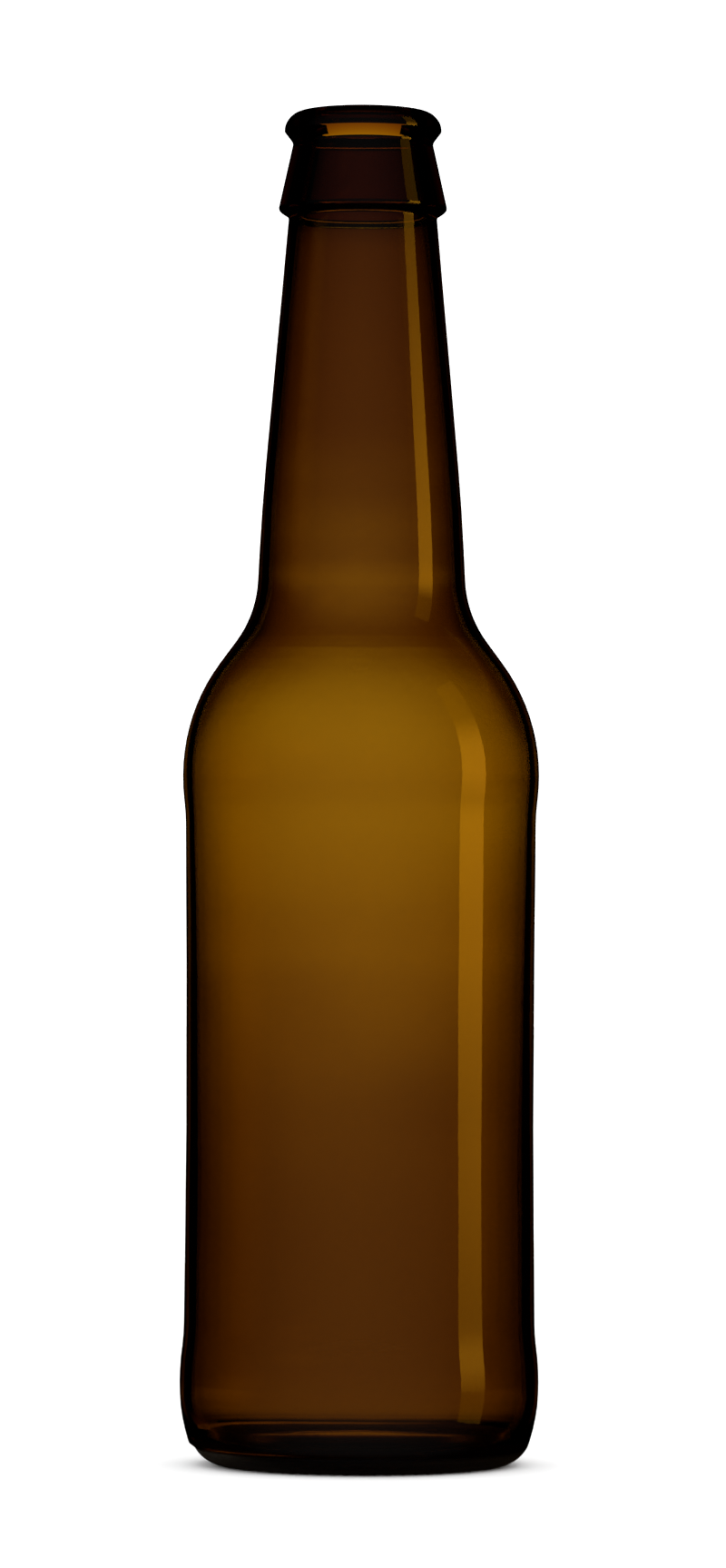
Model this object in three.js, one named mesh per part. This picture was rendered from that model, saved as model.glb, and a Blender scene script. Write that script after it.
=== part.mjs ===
// A long-neck beer bottle of amber glass: one blown piece, empty and open at the mouth.
// Millimetres, +Z up. The origin is the centre of the ring that the bottle stands on.
import * as THREE from 'three';

// Driving dimensions of the outside, from the ground up
const HEIGHT = 230;
const PUSH_UP_CENTRE = 2.1;
const PUSH_UP_EDGE = 1.4;
const PUSH_UP_RADIUS = 19;
const RING_INNER_RADIUS = 21;
const HEEL_RADIUS = 27.7;
const HEEL_ROUND = 5.8;
const BUMPER_RADIUS = 30.5;
const BUMPER_LOW = 8.9;
const BUMPER_HIGH = 16;
const PANEL_RADIUS = 29.78;
const PANEL_LOW = 22.1;
const PANEL_HIGH = 110.4;
const WAIST_RADIUS = 29.3;
const WAIST_HEIGHT = 57;
const WAIST_ROUND = 2500;
const SHOULDER_RADIUS = 30.28;
const SHOULDER_LOW = 114.8;
const SHOULDER_HIGH = 127.5;
const SHOULDER_ROUND = 32;
const ROLL_ROUND = 33;
const NECK_BASE_RADIUS = 17.9;
const NECK_BASE_HEIGHT = 144.3;
const NECK_BASE_ROUND = 19;
const NECK_BELLY_RADIUS = 17.05;
const NECK_BELLY_HEIGHT = 162;
const NECK_BELLY_ROUND = 350;
const NECK_TOP_RADIUS = 12.6;

// Driving dimensions of the crown finish, with heights measured down from the lip
const COLLAR_UNDER = 18.1;
const COLLAR_RADIUS = 14.43;
const COLLAR_LOW = 16.9;
const COLLAR_ROUND = 1;
const RECESS_RADIUS = 11.87;
const RECESS_DROP = 5.4;
const CROWN_RADIUS = 13.35;
const CROWN_LOW = 3.45;
const CROWN_ROUND = 3.2;
const MOUTH_RADIUS = 8.25;
const MOUTH_ROUND = 1.5;
const SMALL_ROUND = 0.6;

// Driving dimensions of the inside: the wall, measured across, the throat, the bore and the floor
const WALL_HEEL = 2.2;
const WALL_BUMPER = 2.05;
const WALL_WAIST = 2.1;
const WALL_PANEL = 1.43;
const WALL_SHOULDER = 1.49;
const WALL_NECK = 1.52;
const INNER_HEEL_ROUND = 4;
const INNER_BUMPER_ROUND = 16;
const INNER_WAIST_ROUND = 1800;
const INNER_SHOULDER_RISE = 0.07;
const INNER_SHOULDER_ROUND = 30.5;
const THROAT_RADIUS = 16.27;
const THROAT_HEIGHT = 144.3;
const THROAT_ROUND = 18.8;
const INNER_BELLY_ROUND = 430;
const INNER_NECK_TOP_RADIUS = 11.05;
const INNER_NECK_TOP = 212;
const INNER_NECK_TOP_ROUND = 60;
const BORE_RADIUS = 8.4;
const BORE_DEPTH = 5;
const BORE_ROUND = 10;
const FLOOR_CENTRE = 5.2;
const FLOOR_EDGE = 1.8;

// Fineness: straight sides in a full circle, and how far an arc may stand off its chords
const SIDES = 48;
const CHORD_GAP = 0.08;

const AMBER_GLASS = new THREE.MeshStandardMaterial({
  name: 'amber_glass',
  color: 0x5c2f06,
  roughness: 0.05,
  metalness: 0,
});

// A corner of the outline, to be rounded by an arc of the given radius
function corner(radius, height, round = 0) {
  return { at: new THREE.Vector2(radius, height), round };
}

// The shallow push-up, the standing ring and the heel, from the axis outwards
function footCorners() {
  return [
    corner(0, PUSH_UP_CENTRE),
    corner(PUSH_UP_RADIUS, PUSH_UP_EDGE, HEEL_ROUND),
    corner(RING_INNER_RADIUS, 0, SMALL_ROUND),
    corner(HEEL_RADIUS, 0, HEEL_ROUND),
  ];
}

// The bumper roll, the slightly waisted label panel and the shoulder roll
function bodyCorners() {
  return [
    corner(BUMPER_RADIUS, BUMPER_LOW, ROLL_ROUND),
    corner(BUMPER_RADIUS, BUMPER_HIGH, ROLL_ROUND),
    corner(PANEL_RADIUS, PANEL_LOW, ROLL_ROUND),
    corner(WAIST_RADIUS, WAIST_HEIGHT, WAIST_ROUND),
    corner(PANEL_RADIUS, PANEL_HIGH, ROLL_ROUND),
    corner(SHOULDER_RADIUS, SHOULDER_LOW, ROLL_ROUND),
    corner(SHOULDER_RADIUS, SHOULDER_HIGH, SHOULDER_ROUND),
  ];
}

// The long neck, with a faint belly where its taper changes
function neckCorners() {
  return [
    corner(NECK_BASE_RADIUS, NECK_BASE_HEIGHT, NECK_BASE_ROUND),
    corner(NECK_BELLY_RADIUS, NECK_BELLY_HEIGHT, NECK_BELLY_ROUND),
    corner(NECK_TOP_RADIUS, HEIGHT - COLLAR_UNDER, SMALL_ROUND),
  ];
}

// The collar, the recess above it, the crown's locking ring and the rounded lip
function finishCorners() {
  return [
    corner(COLLAR_RADIUS, HEIGHT - COLLAR_LOW, COLLAR_ROUND),
    corner(RECESS_RADIUS, HEIGHT - RECESS_DROP, COLLAR_ROUND),
    corner(CROWN_RADIUS, HEIGHT - CROWN_LOW, SMALL_ROUND),
    corner(CROWN_RADIUS, HEIGHT, CROWN_ROUND),
    corner(MOUTH_RADIUS, HEIGHT, MOUTH_ROUND),
  ];
}

// The inside of the finish and the neck, from the bore down to the throat
function innerNeckCorners() {
  return [
    corner(BORE_RADIUS, HEIGHT - BORE_DEPTH, BORE_ROUND),
    corner(INNER_NECK_TOP_RADIUS, INNER_NECK_TOP, INNER_NECK_TOP_ROUND),
    corner(NECK_BELLY_RADIUS - WALL_NECK, NECK_BELLY_HEIGHT, INNER_BELLY_ROUND),
    corner(THROAT_RADIUS, THROAT_HEIGHT, THROAT_ROUND),
  ];
}

// The inside of the body, which follows the rolls outside, down to the middle of the floor
function innerBodyCorners() {
  const innerShoulder = SHOULDER_RADIUS - WALL_SHOULDER;
  const innerBumper = BUMPER_RADIUS - WALL_BUMPER;
  return [
    corner(innerShoulder, SHOULDER_HIGH + INNER_SHOULDER_RISE, INNER_SHOULDER_ROUND),
    corner(innerShoulder, SHOULDER_LOW, ROLL_ROUND),
    corner(PANEL_RADIUS - WALL_PANEL, PANEL_HIGH, ROLL_ROUND),
    corner(WAIST_RADIUS - WALL_WAIST, WAIST_HEIGHT, INNER_WAIST_ROUND),
    corner(PANEL_RADIUS - WALL_BUMPER, PANEL_LOW, ROLL_ROUND),
    corner(innerBumper, BUMPER_HIGH, ROLL_ROUND),
    corner(innerBumper, BUMPER_LOW, INNER_BUMPER_ROUND),
    corner(HEEL_RADIUS - WALL_HEEL, FLOOR_EDGE, INNER_HEEL_ROUND),
    corner(0, FLOOR_CENTRE),
  ];
}

// Points of the arc that rounds one corner and touches the two lines that meet there
function cornerArc(before, { at, round }, after) {
  const incoming = at.clone().sub(before).normalize();
  const outgoing = after.clone().sub(at).normalize();
  const turn = Math.atan2(incoming.cross(outgoing), incoming.dot(outgoing));
  const start = at.clone().addScaledVector(incoming, -round * Math.tan(Math.abs(turn) / 2));
  const towardCentre = new THREE.Vector2(-incoming.y, incoming.x).multiplyScalar(Math.sign(turn));
  const centre = start.clone().addScaledVector(towardCentre, round);
  const steps = Math.ceil(Math.abs(turn) / (2 * Math.acos(1 - CHORD_GAP / round)));
  const pointAt = (_, step) => start.clone().rotateAround(centre, (turn * step) / steps);
  return Array.from({ length: steps + 1 }, pointAt);
}

// The whole outline: its two ends are on the axis, and every corner between them is rounded
function roundedOutline(corners) {
  const ends = [corners[0].at, corners.at(-1).at];
  const rounded = corners
    .slice(1, -1)
    .flatMap((here, index) => cornerArc(corners[index].at, here, corners[index + 2].at));
  return [ends[0], ...rounded, ends[1]];
}

function bottleMesh() {
  const corners = [
    ...footCorners(),
    ...bodyCorners(),
    ...neckCorners(),
    ...finishCorners(),
    ...innerNeckCorners(),
    ...innerBodyCorners(),
  ];
  const geometry = new THREE.LatheGeometry(roundedOutline(corners), SIDES);
  geometry.rotateX(Math.PI / 2);
  const mesh = new THREE.Mesh(geometry, AMBER_GLASS);
  mesh.name = 'bottle';
  return mesh;
}

const bottle = new THREE.Group();
bottle.add(bottleMesh());

export default bottle;
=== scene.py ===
"""The looks of a long-neck beer bottle: amber glass in a bright-field product studio."""
import math

import bpy
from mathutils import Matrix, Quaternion, Vector, noise


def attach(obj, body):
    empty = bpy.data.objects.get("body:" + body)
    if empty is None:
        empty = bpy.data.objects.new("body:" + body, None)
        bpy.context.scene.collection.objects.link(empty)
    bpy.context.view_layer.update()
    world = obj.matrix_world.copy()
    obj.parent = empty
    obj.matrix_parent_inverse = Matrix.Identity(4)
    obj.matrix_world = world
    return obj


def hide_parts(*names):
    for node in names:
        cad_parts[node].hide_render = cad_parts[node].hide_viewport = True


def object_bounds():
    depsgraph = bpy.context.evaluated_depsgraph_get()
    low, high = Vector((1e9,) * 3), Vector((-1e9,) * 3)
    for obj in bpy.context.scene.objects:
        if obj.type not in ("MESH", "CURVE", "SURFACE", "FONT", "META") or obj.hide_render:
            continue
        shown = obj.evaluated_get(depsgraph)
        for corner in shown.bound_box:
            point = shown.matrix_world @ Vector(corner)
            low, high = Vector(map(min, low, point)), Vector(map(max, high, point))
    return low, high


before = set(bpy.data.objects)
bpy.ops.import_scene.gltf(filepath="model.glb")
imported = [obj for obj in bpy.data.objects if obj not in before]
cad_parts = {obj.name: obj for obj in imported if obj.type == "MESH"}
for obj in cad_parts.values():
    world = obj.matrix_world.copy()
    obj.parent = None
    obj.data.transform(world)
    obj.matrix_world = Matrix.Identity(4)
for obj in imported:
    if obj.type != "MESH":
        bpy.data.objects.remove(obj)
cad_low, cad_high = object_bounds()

MM = 0.001

# Outside of the bottle, in millimetres, from the ground up
HEIGHT = (cad_high.z - cad_low.z) / MM
PUSH_UP_CENTRE = 2.1
PUSH_UP_EDGE = 1.4
PUSH_UP_RADIUS = 19
RING_INNER_RADIUS = 21
HEEL_RADIUS = 27.7
HEEL_ROUND = 5.8
BUMPER_RADIUS = cad_high.x / MM
BUMPER_LOW = 8.9
BUMPER_HIGH = 16
PANEL_RADIUS = 29.78
PANEL_LOW = 22.1
PANEL_HIGH = 110.4
WAIST_RADIUS = 29.3
WAIST_HEIGHT = 57
WAIST_ROUND = 2500
SHOULDER_RADIUS = 30.28
SHOULDER_LOW = 114.8
SHOULDER_HIGH = 127.5
SHOULDER_ROUND = 32
ROLL_ROUND = 33
NECK_BASE_RADIUS = 17.9
NECK_BASE_HEIGHT = 144.3
NECK_BASE_ROUND = 19
NECK_BELLY_RADIUS = 17.05
NECK_BELLY_HEIGHT = 162
NECK_BELLY_ROUND = 350
NECK_TOP_RADIUS = 12.6

# Crown finish, with heights measured down from the lip
COLLAR_UNDER = 18.1
COLLAR_RADIUS = 14.43
COLLAR_LOW = 16.9
COLLAR_ROUND = 1
RECESS_RADIUS = 11.87
RECESS_DROP = 5.4
CROWN_RADIUS = 13.35
CROWN_LOW = 3.45
CROWN_ROUND = 3.2
MOUTH_RADIUS = 8.25
MOUTH_ROUND = 1.5
SMALL_ROUND = 0.6

# Inside: the wall, measured across, the throat, the bore and the floor
WALL_HEEL = 2.2
WALL_BUMPER = 2.05
WALL_WAIST = 2.1
WALL_PANEL = 1.43
WALL_SHOULDER = 1.49
WALL_NECK = 1.52
INNER_HEEL_ROUND = 5.5
INNER_BUMPER_ROUND = 16
INNER_WAIST_ROUND = 1800
INNER_SHOULDER_RISE = 0.07
INNER_SHOULDER_ROUND = 30.5
THROAT_RADIUS = 16.27
THROAT_HEIGHT = 144.3
THROAT_ROUND = 18.8
INNER_BELLY_ROUND = 430
INNER_NECK_TOP_RADIUS = 11.05
INNER_NECK_TOP = 212
INNER_NECK_TOP_ROUND = 60
BORE_RADIUS = 8.4
BORE_DEPTH = 5
BORE_ROUND = 10
FLOOR_CENTRE = 3.8
FLOOR_EDGE = 1.8
FLOOR_TOP_RADIUS = 12
FLOOR_ROUND = 105

# Unevenness of blown glass, in millimetres: how deep each wave is, and how long
OUTER_WAVE = 0.05
OUTER_WAVE_SIZE = 12
INNER_WAVE = 0.08
INNER_WAVE_SIZE = 24
FLOOR_WAVE = 0.1
FLOOR_WAVE_SIZE = 6

# Marks of the mould, in millimetres: side seams, bottom plate and knurled standing ring
SEAM_HEIGHT = 0.06
SEAM_WIDTH = 0.35
SEAM_ROOM = 0.1
PLATE_HEIGHT = 3.6
PLATE_EDGE = 0.5
PLATE_STEP = 0.27
PLATE_SHIFT = 0.33
KNURL_BARS = 64
KNURL_DEPTH = 0.3
KNURL_OUTER_RADIUS = 24.6
KNURL_FADE = 1

# Fineness of the mesh
SIDES = 256
SEAM_ANGLES = [math.radians(degrees) for degrees in (-0.62, -0.31, 0.31, 0.62)]
ARC_STEP = math.radians(4)
LONGEST_STEP = 4
FOOT_STEP = 0.5
FOOT_HEIGHT = 8
ON_AXIS = 1e-6

# Glass: light fades by the density times (1 - colour) a metre, and the stipple's heights are in metres
IOR = 1.52
ABSORPTION_DENSITY = 3000
ABSORPTION_COLOUR = (0.866, 0.779, 0.167)
RIPPLE_SCALE = 400
RIPPLE_STRENGTH = 0.3
RIPPLE_DEPTH = 0.00001
POLISH_SCALE = 90
POLISH_ROUGHNESS = 0.015
STIPPLE_ROUGHNESS = 0.6
STIPPLE_LOW = 0.0022
STIPPLE_TOP = 0.0034

# Camera, in metres: where it stands, and the height that the middle of the picture shows
CAMERA_AT = Vector((0.00034, -1.12, 0.088))
CAMERA_ROLL = math.radians(0.19)
AIM_HEIGHT = 0.11544
FRAME_HEIGHT = 0.26665
SENSOR = 36

# Glowing backdrops, in metres: where round the bottle each stands, and how far down it is seen.
# Each band has a colour, a strength, a middle height, a width and a power.
GLOW_DISTANCE = 6
GLOW_TURNS_AND_DIPS = ((0, 0), (90, 3), (270, 3), (45, 25), (225, 15))
GLOW_HALF_WIDTH = 2.05
GLOW_LOW = -1.8
GLOW_HIGH = 1.8
GLOW_WIDE = 2.1
GLOW_WIDE_POWER = 1.2
GLOW_BANDS = (
    ((1, 0.8, 0.5), 0.39, -0.49, 0.75, 2),
    ((1, 0.45, 0.3), 0.2, 0.6, 0.75, 2),
    ((1, 1, 1), 0.57, 0.204, 0.283, 2.5),
)

# Pale card close behind the mouth, in metres
LIP_CARD_SHINE = 1.4
LIP_CARD_BACK = 0.12
LIP_CARD_HALF_WIDTH = 0.055
LIP_CARD_LOW = 0.274
LIP_CARD_HIGH = 0.306

# Strip lamp, in metres, seen only as a highlight
STRIP_TURN = math.radians(76)
STRIP_DISTANCE = 0.5
STRIP_WIDTH = 0.17
STRIP_LOW = -0.15
STRIP_HIGH = 0.62
STRIP_MIDDLE = 0.17
STRIP_TALL = 0.17
STRIP_POWER = 3
STRIP_FAINT = 0.15
STRIP_COLOUR = (1, 0.44, 0.02)
STRIP_STRENGTH = 3.1

WORLD_STRENGTH = 1.8
WORLD_SHEEN = 0.06
FLOOR_SIZE = 6
FLOOR_PALENESS = 0.9
FLOOR_ROUGHNESS = 0.9
FOOT_SHADE_RADIUS = 0.035
FOOT_SHADE_DROP = 0.0003

# How often light may be mirrored or bent on its way through the walls
ALL_BOUNCES = 24
GLOSSY_BOUNCES = 12


def corner(radius, height, round_by=0):
    return Vector((radius, height)), round_by


def outside_corners():
    """The outline from the middle of the push-up to the lip."""
    return [
        corner(0, PUSH_UP_CENTRE),
        corner(PUSH_UP_RADIUS, PUSH_UP_EDGE, HEEL_ROUND),
        corner(RING_INNER_RADIUS, 0, SMALL_ROUND),
        corner(HEEL_RADIUS, 0, HEEL_ROUND),
        corner(BUMPER_RADIUS, BUMPER_LOW, ROLL_ROUND),
        corner(BUMPER_RADIUS, BUMPER_HIGH, ROLL_ROUND),
        corner(PANEL_RADIUS, PANEL_LOW, ROLL_ROUND),
        corner(WAIST_RADIUS, WAIST_HEIGHT, WAIST_ROUND),
        corner(PANEL_RADIUS, PANEL_HIGH, ROLL_ROUND),
        corner(SHOULDER_RADIUS, SHOULDER_LOW, ROLL_ROUND),
        corner(SHOULDER_RADIUS, SHOULDER_HIGH, SHOULDER_ROUND),
        corner(NECK_BASE_RADIUS, NECK_BASE_HEIGHT, NECK_BASE_ROUND),
        corner(NECK_BELLY_RADIUS, NECK_BELLY_HEIGHT, NECK_BELLY_ROUND),
        corner(NECK_TOP_RADIUS, HEIGHT - COLLAR_UNDER, SMALL_ROUND),
        corner(COLLAR_RADIUS, HEIGHT - COLLAR_LOW, COLLAR_ROUND),
        corner(RECESS_RADIUS, HEIGHT - RECESS_DROP, COLLAR_ROUND),
        corner(CROWN_RADIUS, HEIGHT - CROWN_LOW, SMALL_ROUND),
        corner(CROWN_RADIUS, HEIGHT, CROWN_ROUND),
        corner(MOUTH_RADIUS, HEIGHT, MOUTH_ROUND),
    ]


def inside_corners():
    """The outline from the bore down the neck and the body to the middle of the domed floor."""
    inner_shoulder = SHOULDER_RADIUS - WALL_SHOULDER
    inner_bumper = BUMPER_RADIUS - WALL_BUMPER
    return [
        corner(BORE_RADIUS, HEIGHT - BORE_DEPTH, BORE_ROUND),
        corner(INNER_NECK_TOP_RADIUS, INNER_NECK_TOP, INNER_NECK_TOP_ROUND),
        corner(NECK_BELLY_RADIUS - WALL_NECK, NECK_BELLY_HEIGHT, INNER_BELLY_ROUND),
        corner(THROAT_RADIUS, THROAT_HEIGHT, THROAT_ROUND),
        corner(inner_shoulder, SHOULDER_HIGH + INNER_SHOULDER_RISE, INNER_SHOULDER_ROUND),
        corner(inner_shoulder, SHOULDER_LOW, ROLL_ROUND),
        corner(PANEL_RADIUS - WALL_PANEL, PANEL_HIGH, ROLL_ROUND),
        corner(WAIST_RADIUS - WALL_WAIST, WAIST_HEIGHT, INNER_WAIST_ROUND),
        corner(PANEL_RADIUS - WALL_BUMPER, PANEL_LOW, ROLL_ROUND),
        corner(inner_bumper, BUMPER_HIGH, ROLL_ROUND),
        corner(inner_bumper, BUMPER_LOW, INNER_BUMPER_ROUND),
        corner(HEEL_RADIUS - WALL_HEEL, FLOOR_EDGE, INNER_HEEL_ROUND),
        corner(FLOOR_TOP_RADIUS, FLOOR_CENTRE, FLOOR_ROUND),
        corner(0, FLOOR_CENTRE),
    ]


def corner_arc(before, here, after):
    """Points of the arc that rounds one corner and touches the two lines that meet there."""
    (start_line, _), (at, round_by), (end_line, _) = before, here, after
    incoming = (at - start_line).normalized()
    outgoing = (end_line - at).normalized()
    turn = math.atan2(incoming.cross(outgoing), incoming.dot(outgoing))
    start = at - incoming * round_by * math.tan(abs(turn) / 2)
    to_centre = Vector((-incoming.y, incoming.x)) * math.copysign(round_by, turn)
    centre = start + to_centre
    steps = max(2, math.ceil(abs(turn) / ARC_STEP))
    points = []
    for step in range(steps + 1):
        angle = turn * step / steps
        arm = -to_centre
        points.append(centre + Vector((
            arm.x * math.cos(angle) - arm.y * math.sin(angle),
            arm.x * math.sin(angle) + arm.y * math.cos(angle),
        )))
    return points


def with_short_steps(points):
    """The same outline with points added, closer together in the foot, where the mould marks are."""
    filled = [points[0]]
    for here, after in zip(points, points[1:]):
        in_foot = max(here.y, after.y) < FOOT_HEIGHT and min(here.x, after.x) > PUSH_UP_RADIUS
        longest = FOOT_STEP if in_foot else LONGEST_STEP
        pieces = max(1, math.ceil((after - here).length / longest))
        filled += [here.lerp(after, piece / pieces) for piece in range(1, pieces + 1)]
    return filled


def rounded_outline(corners):
    points = [corners[0][0]]
    for before, here, after in zip(corners, corners[1:], corners[2:]):
        points += corner_arc(before, here, after)
    points.append(corners[-1][0])
    return with_short_steps(points)


def ramp(value, start, end):
    """Rises from 0 at start to 1 at end, and stays there."""
    return min(1, max(0, (value - start) / (end - start)))


def unevenness(radius, height, angle, size):
    """A smooth random number between -1 and 1 that changes over the given length."""
    place = Vector((radius * math.cos(angle), radius * math.sin(angle), height))
    return noise.noise(place / size)


def seam(radius, angle):
    """How far the two side seams stand out, which they do only where the CAD box leaves room."""
    from_seam = radius * abs(math.remainder(angle, math.pi))
    room = ramp(BUMPER_RADIUS - radius, SEAM_HEIGHT, SEAM_HEIGHT + SEAM_ROOM)
    return SEAM_HEIGHT * room * math.exp(-((from_seam / SEAM_WIDTH) ** 2))


def knurl(radius, angle):
    """How far the standing ring is cut up between its bars."""
    inner = ramp(radius, RING_INNER_RADIUS - KNURL_FADE, RING_INNER_RADIUS)
    outer = ramp(-radius, -KNURL_OUTER_RADIUS, KNURL_FADE - KNURL_OUTER_RADIUS)
    return KNURL_DEPTH * inner * outer * (1 - math.cos(KNURL_BARS * angle)) / 2


def outside_place(radius, height, angle):
    """A point of the outside: slightly wavy, with seams, a bottom plate out of line and knurling."""
    full = ramp(radius, 0, RING_INNER_RADIUS / 2)
    wave = OUTER_WAVE * (unevenness(radius, height, angle, OUTER_WAVE_SIZE) - 1) / 2
    on_plate = ramp(-height, -PLATE_HEIGHT, PLATE_EDGE - PLATE_HEIGHT)
    radius += full * (wave + seam(radius, angle) - PLATE_STEP * on_plate)
    x = radius * math.cos(angle) + PLATE_SHIFT * on_plate
    return x, radius * math.sin(angle), height + on_plate * knurl(radius, angle)


def inside_place(radius, height, angle):
    """A point of the inside: wavier than the outside, and rough round the floor."""
    full = ramp(radius, 0, MOUTH_RADIUS) * ramp(HEIGHT - height, 0, BORE_DEPTH)
    wave = INNER_WAVE * full * unevenness(radius, height, angle, INNER_WAVE_SIZE)
    low = ramp(-height, -FOOT_HEIGHT, -FLOOR_CENTRE)
    off_centre = ramp(radius, PUSH_UP_RADIUS / 2, PUSH_UP_RADIUS)
    rough = FLOOR_WAVE * low * off_centre * unevenness(radius, height, angle, FLOOR_WAVE_SIZE)
    return (radius + wave) * math.cos(angle), (radius + wave) * math.sin(angle), height + rough


def ring_angles():
    even = [math.tau * side / SIDES for side in range(SIDES)]
    seams = (0, math.pi)
    beside_seams = [(seam_at + offset) % math.tau for seam_at in seams for offset in SEAM_ANGLES]
    return sorted(even + beside_seams)


def bottle_mesh():
    outline = rounded_outline(outside_corners() + inside_corners())
    lip = max(range(len(outline)), key=lambda index: outline[index].y)
    angles = ring_angles()
    verts = []
    rings = []
    for index, (radius, height) in enumerate(outline):
        place = outside_place if index <= lip else inside_place
        on_axis = radius < ON_AXIS
        rings.append([len(verts) + (0 if on_axis else side) for side in range(len(angles))])
        for angle in angles[:1] if on_axis else angles:
            verts.append(Vector(place(radius, height, angle)) * MM)
    faces = []
    for low, high in zip(rings, rings[1:]):
        for side in range(len(angles)):
            after = (side + 1) % len(angles)
            quad = (low[side], low[after], high[after], high[side])
            faces.append(tuple(dict.fromkeys(quad)))
    mesh = bpy.data.meshes.new("bottle_glass")
    mesh.from_pydata(verts, [], faces)
    mesh.polygons.foreach_set("use_smooth", [True] * len(mesh.polygons))
    mesh.validate()
    return mesh


def new_material(name):
    material = bpy.data.materials.new(name)
    material.use_nodes = True
    return material


def add_node(tree, kind, inputs=None, **settings):
    """A new node, with its settings, and with each input set to a value or linked to a socket."""
    node = tree.nodes.new(kind)
    for name, value in settings.items():
        setattr(node, name, value)
    for name, value in (inputs or {}).items():
        if isinstance(value, bpy.types.NodeSocket):
            tree.links.new(value, node.inputs[name])
        else:
            node.inputs[name].default_value = value
    return node


def calculate(tree, operation, first, second=0):
    node = add_node(tree, "ShaderNodeMath", {0: first, 1: second}, operation=operation)
    return node.outputs["Value"]


def bell(tree, value, middle, width, power=2):
    """1 in the middle, falling off on both sides; a higher power makes a flatter top."""
    offset = calculate(tree, "SUBTRACT", value, middle)
    distance = calculate(tree, "ABSOLUTE", calculate(tree, "DIVIDE", offset, width))
    exponent = calculate(tree, "MULTIPLY", calculate(tree, "POWER", distance, power), -1)
    return calculate(tree, "EXPONENT", exponent)


def fine_noise(tree, scale):
    place = add_node(tree, "ShaderNodeTexCoord").outputs["Object"]
    return add_node(tree, "ShaderNodeTexNoise", {"Vector": place, "Scale": scale}).outputs["Fac"]


def spread(tree, value, start, end, low, high):
    """Goes from low, where the value is at the start, to high, where it is at the end."""
    limits = {"From Min": start, "From Max": end, "To Min": low, "To Max": high}
    return add_node(tree, "ShaderNodeMapRange", {"Value": value, **limits}).outputs["Result"]


def amber_glass():
    material = new_material("amber_glass")
    tree = material.node_tree
    shader = tree.nodes["Principled BSDF"]
    shader.inputs["IOR"].default_value = IOR
    shader.inputs["Transmission Weight"].default_value = 1
    shader.inputs["Base Color"].default_value = (1, 1, 1, 1)
    polish = spread(tree, fine_noise(tree, POLISH_SCALE), 0, 1, 0, POLISH_ROUGHNESS)
    stipple = spread(tree, own_place(tree)["Z"], STIPPLE_TOP, STIPPLE_LOW, 0, STIPPLE_ROUGHNESS)
    tree.links.new(calculate(tree, "MAXIMUM", polish, stipple), shader.inputs["Roughness"])
    ripple = add_node(tree, "ShaderNodeBump", {
        "Height": fine_noise(tree, RIPPLE_SCALE),
        "Strength": RIPPLE_STRENGTH,
        "Distance": RIPPLE_DEPTH,
    })
    tree.links.new(ripple.outputs["Normal"], shader.inputs["Normal"])
    volume = add_node(tree, "ShaderNodeVolumeAbsorption", {
        "Color": (*ABSORPTION_COLOUR, 1),
        "Density": ABSORPTION_DENSITY,
    })
    tree.links.new(volume.outputs["Volume"], tree.nodes["Material Output"].inputs["Volume"])
    return material


def make_bottle():
    bottle = bpy.data.objects.new("bottle_glass", bottle_mesh())
    bpy.context.scene.collection.objects.link(bottle)
    bottle.data.materials.append(amber_glass())
    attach(bottle, "root")
    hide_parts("bottle")


def stage_face(name, corners, material):
    """One flat face that belongs to the studio, not to the bottle."""
    mesh = bpy.data.meshes.new(name)
    mesh.from_pydata(corners, [], [range(len(corners))])
    mesh.materials.append(material)
    face = bpy.data.objects.new(name, mesh)
    bpy.context.scene.collection.objects.link(face)
    return face


def stage_plane(name, half_width, low, high, material):
    """An upright plane that faces along Y."""
    left, right = -half_width, half_width
    corners = [(left, 0, low), (right, 0, low), (right, 0, high), (left, 0, high)]
    return stage_face(name, corners, material)


def seen_only_by(plane, *kinds):
    for kind in ("camera", "diffuse", "glossy", "transmission", "volume_scatter", "shadow"):
        setattr(plane, f"visible_{kind}", kind in kinds)


def own_place(tree):
    """Sockets with the place on the object itself."""
    place = add_node(tree, "ShaderNodeTexCoord").outputs["Object"]
    return add_node(tree, "ShaderNodeSeparateXYZ", {0: place}).outputs


def emission(tree, colour, strength):
    inputs = {"Color": (*colour, 1), "Strength": strength}
    return add_node(tree, "ShaderNodeEmission", inputs).outputs["Emission"]


def shining_material(name):
    """A material with only an output, and its node tree."""
    material = new_material(name)
    material.node_tree.nodes.clear()
    return material, material.node_tree


def glow_material():
    """Brightest behind the shoulder, with a broad warmer glow round it that fades on all sides."""
    material, tree = shining_material("glow")
    place = own_place(tree)
    across = bell(tree, place["X"], 0, GLOW_WIDE, GLOW_WIDE_POWER)
    bands = []
    for colour, strength, middle, width, power in GLOW_BANDS:
        spread = calculate(tree, "MULTIPLY", bell(tree, place["Z"], middle, width, power), across)
        bands.append(emission(tree, colour, calculate(tree, "MULTIPLY", spread, strength)))
    warm = add_node(tree, "ShaderNodeAddShader", {0: bands[0], 1: bands[1]}).outputs["Shader"]
    whole = add_node(tree, "ShaderNodeAddShader", {0: warm, 1: bands[2]}).outputs["Shader"]
    add_node(tree, "ShaderNodeOutputMaterial", {"Surface": whole})
    return material


def lip_card_material():
    material, tree = shining_material("lip_card")
    add_node(tree, "ShaderNodeOutputMaterial", {"Surface": emission(tree, (1, 1, 1), LIP_CARD_SHINE)})
    return material


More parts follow.
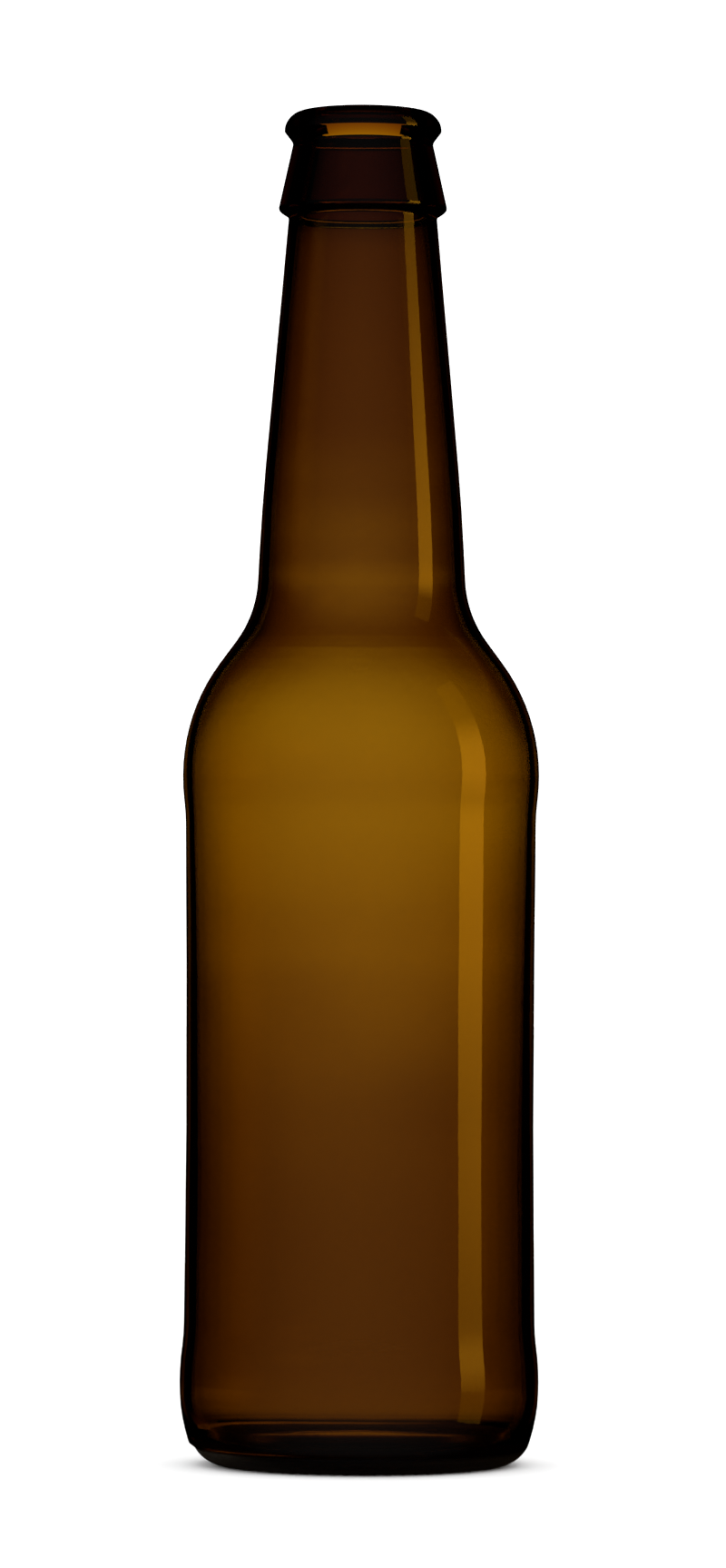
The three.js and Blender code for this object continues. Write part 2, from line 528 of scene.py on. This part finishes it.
def make_glows():
    """The backdrops that shine through the glass, the lower ones for views from above."""
    material = glow_material()
    for turn, dip in GLOW_TURNS_AND_DIPS:
        plane = stage_plane(f"glow_{turn}", GLOW_HALF_WIDTH, GLOW_LOW, GLOW_HIGH, material)
        angle = math.radians(turn)
        drop = GLOW_DISTANCE * math.tan(math.radians(dip))
        plane.rotation_euler.z = angle
        plane.location = (-GLOW_DISTANCE * math.sin(angle), GLOW_DISTANCE * math.cos(angle), -drop)
        seen_only_by(plane, "transmission")


def make_lip_card():
    """A pale card behind and above the mouth, which shows through the underside of the crown bead."""
    card = stage_plane("lip_card", LIP_CARD_HALF_WIDTH, LIP_CARD_LOW, LIP_CARD_HIGH, lip_card_material())
    card.location.y = LIP_CARD_BACK
    seen_only_by(card, "transmission")


def strip_material():
    """An amber strip that fades towards both ends, but not below a faint glow."""
    material, tree = shining_material("strip")
    middle = bell(tree, own_place(tree)["Z"], STRIP_MIDDLE, STRIP_TALL, STRIP_POWER)
    fade = calculate(tree, "MAXIMUM", middle, STRIP_FAINT)
    shine = emission(tree, STRIP_COLOUR, calculate(tree, "MULTIPLY", fade, STRIP_STRENGTH))
    add_node(tree, "ShaderNodeOutputMaterial", {"Surface": shine})
    return material


def make_strip():
    strip = stage_plane("strip", STRIP_WIDTH / 2, STRIP_LOW, STRIP_HIGH, strip_material())
    strip.location = (STRIP_DISTANCE * math.sin(STRIP_TURN), -STRIP_DISTANCE * math.cos(STRIP_TURN), 0)
    strip.rotation_euler.z = STRIP_TURN
    seen_only_by(strip, "glossy")


def make_foot_shade():
    """A dark disc below the push-up, seen only through the glass: painted shade that keeps the foot
    dark.
    """
    material, tree = shining_material("foot_shade")
    add_node(tree, "ShaderNodeOutputMaterial", {"Surface": emission(tree, (0, 0, 0), 0)})
    turns = [math.tau * side / SIDES for side in range(SIDES)]
    rim = [(FOOT_SHADE_RADIUS * math.cos(turn), FOOT_SHADE_RADIUS * math.sin(turn), 0) for turn in turns]
    shade = stage_face("foot_shade", rim, material)
    shade.location.z = -FOOT_SHADE_DROP
    seen_only_by(shade, "transmission")


def make_floor():
    material = new_material("floor")
    shader = material.node_tree.nodes["Principled BSDF"]
    shader.inputs["Base Color"].default_value = (FLOOR_PALENESS, FLOOR_PALENESS, FLOOR_PALENESS, 1)
    shader.inputs["Roughness"].default_value = FLOOR_ROUGHNESS
    floor = stage_plane("floor", FLOOR_SIZE, -FLOOR_SIZE, FLOOR_SIZE, material)
    floor.rotation_euler.x = -math.pi / 2
    seen_only_by(floor, "camera", "diffuse")


def make_world():
    """White for the camera and the floor, while the glass mirrors only a faint light from the front."""
    world = bpy.data.worlds.new("studio")
    bpy.context.scene.world = world
    world.use_nodes = True
    tree = world.node_tree
    path = add_node(tree, "ShaderNodeLightPath").outputs
    white = calculate(tree, "MAXIMUM", path["Is Camera Ray"], path["Is Diffuse Ray"])
    direction = add_node(tree, "ShaderNodeTexCoord").outputs["Generated"]
    forward = add_node(tree, "ShaderNodeSeparateXYZ", {0: direction}).outputs["Y"]
    front = calculate(tree, "MAXIMUM", calculate(tree, "MULTIPLY", forward, -WORLD_SHEEN), 0)
    sheen = calculate(tree, "MULTIPLY", path["Is Glossy Ray"], front)
    both = calculate(tree, "ADD", calculate(tree, "MULTIPLY", white, WORLD_STRENGTH), sheen)
    background = tree.nodes["Background"]
    background.inputs["Color"].default_value = (1, 1, 1, 1)
    tree.links.new(both, background.inputs["Strength"])


def make_camera():
    data = bpy.data.cameras.new("camera")
    camera = bpy.data.objects.new("camera", data)
    bpy.context.scene.collection.objects.link(camera)
    camera.location = CAMERA_AT
    aim = Vector((CAMERA_AT.x, 0, AIM_HEIGHT)) - CAMERA_AT
    facing = aim.to_track_quat("-Z", "Y") @ Quaternion((0, 0, 1), CAMERA_ROLL)
    camera.rotation_euler = facing.to_euler()
    data.sensor_width = SENSOR
    data.lens = SENSOR * aim.length / FRAME_HEIGHT
    bpy.context.scene.camera = camera


scene = bpy.context.scene
scene.view_settings.view_transform = "Standard"
scene.cycles.max_bounces = ALL_BOUNCES
scene.cycles.glossy_bounces = GLOSSY_BOUNCES
scene.cycles.transmission_bounces = ALL_BOUNCES
make_camera()
make_world()
make_floor()
make_foot_shade()
make_glows()
make_lip_card()
make_strip()
make_bottle()
